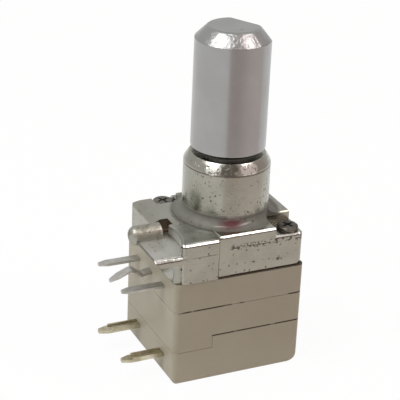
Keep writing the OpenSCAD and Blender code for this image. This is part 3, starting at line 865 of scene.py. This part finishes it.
# %% Turned shaft
turned_shaft, tree, shader, place = finish_sheet("turned_shaft", (0.365, 0.365, 0.36), 0.22, 1.0)
tone = mist(tree, place, 250.0, 0.3, 0.7)
marks = use(
    tree,
    scratches,
    {"Vector": place, "Turn": (0.0, 0.4, 0.0), "Per metre": 500.0, "Low": 0.68},
)
nicks = specks(tree, place, 900.0, 0.16, 0.14)
height = put(tree, "ShaderNodeSeparateXYZ", {"Vector": place}).outputs["Z"]
end_bevel = both(tree, step(tree, height, 26.6, 26.9), step(tree, height, 27.74, 27.68))
colour = tint(tree, tone, (0.375, 0.375, 0.37), (0.345, 0.342, 0.336))
colour = tint(tree, part_of(tree, nicks, 0.6), colour, (0.16, 0.16, 0.155))
tree.links.new(colour, shader.inputs["Base Color"])
tree.links.new(ramp(tree, tone, 0.0, 1.0, 0.20, 0.26), shader.inputs["Roughness"])
crumpled = both(tree, mist(tree, place, 2200.0, 0.2, 0.8), end_bevel)
heights = ((crumpled, 30), (marks, -4), (nicks, -10))
tree.links.new(relief(tree, heights), shader.inputs["Normal"])
print(turned_shaft.name, "has", len(heights), "heights and", len(tree.nodes), "nodes")

# %% [markdown]
# The wafers are moulded in a tan plastic with a very fine grain. Painted shade lies in their
# joints at the front, here and there. A joint is its level, its two ends along the front, and how
# broken its line is.

# %% Moulded plastic
JOINT_HALF = 0.09
JOINT_FADE = 0.2
# the colour of the painted shade in the joints
JOINT_SHADE_COLOUR = (0.05, 0.035, 0.02)


def moulded(name, pale, deep, rough, joints=()):
    """Plastic with a fine grain, and painted shade in these joints."""
    material, tree, shader, place = finish_sheet(name, pale, rough)
    tone = mist(tree, place, 220.0, 0.3, 0.7)
    grain = mist(tree, place, 9000.0, 0.3, 0.7)
    colour = tint(tree, tone, pale, deep)
    if joints:
        across = put(tree, "ShaderNodeSeparateXYZ", {"Vector": place}).outputs["X"]
    for level, from_x, to_x, low in joints:
        line = line_at(tree, place, level, JOINT_HALF, 700.0, low)
        joint_shade_line = both(tree, line, stretch(tree, across, from_x, to_x, JOINT_FADE))
        # painted shade in the joint
        colour = tint(tree, joint_shade_line, colour, JOINT_SHADE_COLOUR)
    polish = ramp(tree, grain, 0.0, 1.0, rough - 0.05, rough + 0.08)
    tree.links.new(colour, shader.inputs["Base Color"])
    tree.links.new(polish, shader.inputs["Roughness"])
    tree.links.new(relief(tree, [(grain, 3)]), shader.inputs["Normal"])
    return material


JOINTS = (
    (8.83, -2.6, 6.0, 0.2),
    (6.34, -5.9, -1.5, 0.36),
    (6.34, -1.5, 6.0, 0.5),
    (3.81, -2.9, 6.0, 0.36),
)
tan_plastic = moulded("tan_wafer_plastic", (0.375, 0.345, 0.265), (0.36, 0.33, 0.25), 0.5, JOINTS)
white_plastic = moulded("rotor_white", (0.75, 0.74, 0.70), (0.70, 0.69, 0.65), 0.45)
dark_plastic = moulded("rotor_dark", (0.05, 0.05, 0.055), (0.035, 0.035, 0.04), 0.45)
phenolic = moulded("board_brown", (0.30, 0.17, 0.08), (0.22, 0.12, 0.055), 0.55)
carbon_film = moulded("carbon_film", (0.025, 0.025, 0.025), (0.018, 0.018, 0.018), 0.5)
seal_rubber = moulded("seal_rubber", (0.02, 0.02, 0.02), (0.012, 0.012, 0.012), 0.6)
print("grimy joints:", len(JOINTS))

# %% [markdown]
# The blades are thin strip plated with tin or gold, and the screws are blackened. All of them are
# mottled between two tones and finely scratched, so one helper makes them, and the springs too.

# %% Plated strip, springs and screws


def strip_metal(name, pale, deep, rough):
    """Thin metal, mottled between a pale and a deep tone."""
    material, tree, shader, place = finish_sheet(name, pale, rough, 1.0)
    tone = mist(tree, place, 900.0, 0.3, 0.7)
    marks = use(tree, scratches, {"Vector": place, "Per metre": 500.0, "Low": 0.6})
    tree.links.new(tint(tree, tone, pale, deep), shader.inputs["Base Color"])
    tree.links.new(ramp(tree, tone, 0.0, 1.0, rough, rough + 0.15), shader.inputs["Roughness"])
    tree.links.new(relief(tree, [(tone, 6), (marks, -4)]), shader.inputs["Normal"])
    return material


tinned = strip_metal("tinned_blade", (0.56, 0.55, 0.51), (0.42, 0.41, 0.375), 0.35)
gilded = strip_metal("gilded_blade", (0.64, 0.60, 0.47), (0.42, 0.37, 0.25), 0.25)
bronze = strip_metal("spring_bronze", (0.60, 0.42, 0.20), (0.45, 0.30, 0.14), 0.3)
clip_steel = strip_metal("clip_steel", (0.50, 0.50, 0.50), (0.38, 0.38, 0.38), 0.3)
silver_film = strip_metal("silver_film", (0.70, 0.69, 0.66), (0.60, 0.59, 0.56), 0.35)
black_screw = strip_metal("blackened_screw", (0.20, 0.185, 0.16), (0.07, 0.062, 0.052), 0.3)
print("finishes:", len(bpy.data.materials))

# %% [markdown]
# ## Softened solids
#
# No cast or moulded edge is truly sharp: the tool that made it had a small radius, and that
# radius is what catches the light. Each visible solid is copied from the frame, its loose
# triangles are merged, flat areas become single faces, and the edges that turn sharply are
# bevelled. Smooth shading with weighted normals then keeps the flats flat. The edges that still
# turn sharply are marked before the mesh is made, or they would be shaded round as well.

# %% Helpers for pieces
SHARP = math.radians(40)


def solid_copy(node):
    """A bmesh of the node's own solid, merged, with its flat areas as single faces."""
    bm = bmesh.new()
    bm.from_mesh(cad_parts[node].data)
    bmesh.ops.remove_doubles(bm, verts=bm.verts[:], dist=2 * MICRON)
    flat = math.radians(1)
    bmesh.ops.dissolve_limit(bm, angle_limit=flat, verts=bm.verts[:], edges=bm.edges[:])
    for face in bm.faces:
        face.smooth = True
    bm.normal_update()
    return bm


def soften(bm, width, test=None, segments=2, angle=40, clamp=True):
    """Bevels the edges that turn more than the angle, where the test of their middle in mm holds.

    One segment makes a flat break. With clamp, the shortest neighbour limits the whole call's
    width, so large and small radii go in calls of their own.
    """
    turn = math.radians(angle)
    edges = []
    for edge in bm.edges:
        if edge.calc_face_angle(0) > turn:
            middle = (edge.verts[0].co + edge.verts[1].co) / (2 * MM)
            if test is None or test(middle, edge):
                edges.append(edge)
    bmesh.ops.bevel(
        bm,
        geom=edges,
        offset=width * MM,
        affect="EDGES",
        segments=segments,
        profile=0.5,
        material=-1,
        clamp_overlap=clamp,
    )
    bm.normal_update()
    return len(edges)


def level(edge):
    """An edge whose two ends are at one height."""
    return abs(edge.verts[0].co.z - edge.verts[1].co.z) < 10 * MICRON


def long(edge):
    """An edge of more than a millimetre."""
    return edge.calc_length() > MM


def rim(edge):
    """A level edge that stands out, such as the rim of a deck."""
    return level(edge) and edge.is_convex


def piece(bm, name, body, node, material):
    """Turns the bmesh into a finished piece that stands for its node."""
    for edge in bm.edges:
        edge.smooth = edge.calc_face_angle(0) < SHARP
    mesh = bpy.data.meshes.new(name)
    bm.to_mesh(mesh)
    bm.free()
    mesh.materials.append(material)
    made = bpy.data.objects.new(name, mesh)
    bpy.context.scene.collection.objects.link(made)
    weighted = made.modifiers.new("weighted", "WEIGHTED_NORMAL")
    weighted.keep_sharp = True
    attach(made, body)
    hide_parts(node)
    print(name, len(mesh.polygons), "faces")


# %% [markdown]
# The wafers keep nearly sharp edges, because their moulds close tightly. On the left face the
# photograph hardly shows the joints between them, so the edges there aren't broken at all.

# %% Wafers
WAFER_EDGE = 0.03
WAFER_LEFT = -6.25

for node, name in (
    ("pot_case", "upper_wafer"),
    ("switch_case", "middle_wafer"),
    ("switch_base", "base_wafer"),
):
    bm = solid_copy(node)
    soften(bm, WAFER_EDGE, lambda m, e: m.x > WAFER_LEFT)
    piece(bm, name, "case", node, tan_plastic)

# %% [markdown]
# The casting's edges differ in width, so each kind is bevelled in its own pass: width in mm,
# segments, the least turn in degrees, and a test of the edge by its middle. The passes don't
# limit their width by their neighbours, because one tiny edge would then thin them all.

# %% Bushing housing
bm = solid_copy("bushing_housing")
passes = (
    # the top edges that face the front: a worn, flat break that catches the right lamp
    (0.16, 1, 60, lambda m, e: rim(e) and m.y < -4.3 and 11.2 < m.z < 11.3),
    (0.12, 1, 60, lambda m, e: rim(e) and m.y < -4.3 and 11.3 < m.z < 12.5),
    (0.08, 1, 60, lambda m, e: rim(e) and abs(m.y + 2.12) < 0.02 and m.x > 3.8 and m.z > 12.3),
    # the other edges of the deck and notch
    (0.05, 2, 60, lambda m, e: rim(e) and m.x > 2.2 and m.y > -2 and 11.6 < m.z < 12.5),
    (0.05, 2, 60, lambda m, e: rim(e) and abs(m.x - 2.24) < 0.02 and 12.3 < m.z < 12.5),
    (0.04, 2, 40, lambda m, e: level(e) and m.y > 3.9 and 11.2 < m.z < 12.5 and long(e)),
    # the foot's left edge and the peg's tip
    (0.08, 2, 60, lambda m, e: level(e) and m.x < -8.05 and m.z > 11.2 and m.y < -1.3),
    (0.20, 4, 30, lambda m, e: m.x < -8.1 and m.y > -1.5 and m.z > 10.7),
    # the boss's top
    (0.10, 3, 30, lambda m, e: m.z > 16.5),
    # the scoop's upright corner, then the lower rim
    (0.05, 2, 60, lambda m, e: not level(e) and e.is_convex and m.y < -4 and m.x < -5.8),
    (0.03, 2, 60, lambda m, e: m.z < 8.9 and e.is_convex),
)
for width, segments, angle, test in passes:
    count = soften(bm, width, test, segments, angle, clamp=False)
    print("bevel of", width, "mm on", count, "edges")
piece(bm, "bushing_casting", "case", "bushing_housing", cast_zinc)

# %% [markdown]
# The shaft's end face keeps the tool's small radius, and the edges of the D flat and the neck
# have a little less. Some of these edges turn only slightly, so the least turn is lower here.

# %% Shaft
END_EDGE = 0.15
FLAT_EDGE = 0.12
SHAFT_TURN = 28

bm = solid_copy("shaft")
soften(bm, END_EDGE, lambda m, e: m.z > 27.6, 3, SHAFT_TURN, clamp=False)
soften(bm, FLAT_EDGE, lambda m, e: 17.5 < m.z < 27.5, 3, SHAFT_TURN)
piece(bm, "knob_shaft", "spindle", "shaft", turned_shaft)

# %% [markdown]
# Screws and blades are small. Their edges are only just broken, which is enough for a thin light.

# %% Screws
SMALL_EDGE = 0.05

for node in ("screw_rear_left", "screw_front_right"):
    bm = solid_copy(node)
    soften(bm, SMALL_EDGE)
    piece(bm, node + "_dressed", "case", node, black_screw)

# %% Terminals
blades = [(f"pot_terminal_{n}", f"blade_{n}", "tinned_blade", tinned) for n in (1, 2, 3)]
blades += [
    (f"switch_terminal_{letter}", f"switch_blade_{letter}", "gold_blade", gilded)
    for letter in ("a", "b")
]
for node, name, slot, metal in blades:
    bm = solid_copy(node)
    soften(bm, SMALL_EDGE)
    piece(bm, name, "case", node, metal)

# %% [markdown]
# The pieces inside aren't seen, so they keep the solid from the frame and only get a finish.

# %% Finishes for the pieces inside
INSIDE = {
    "o_ring": seal_rubber,
    "thrust_washer": bronze,
    "retaining_ring": clip_steel,
    "resistor_board": phenolic,
    "resistive_track": carbon_film,
    "collector_ring": silver_film,
    "pot_rotor": white_plastic,
    "wiper_brush": bronze,
    "detent_spring": clip_steel,
    "switch_rotor": dark_plastic,
    "switch_bridge": bronze,
}
for node, material in INSIDE.items():
    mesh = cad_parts[node].data
    mesh.materials.clear()
    mesh.materials.append(material)
print("dressed inside:", len(INSIDE))

# %% [markdown]
# The finishing must not make the part larger: the box of all pieces is measured again and
# compared with the box of the solids.

# %% Sizes
new_low, new_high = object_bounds()
grown = max((new_high - cad_high).length, (cad_low - new_low).length)
print("grown by", round(grown / MM, 3), "mm")
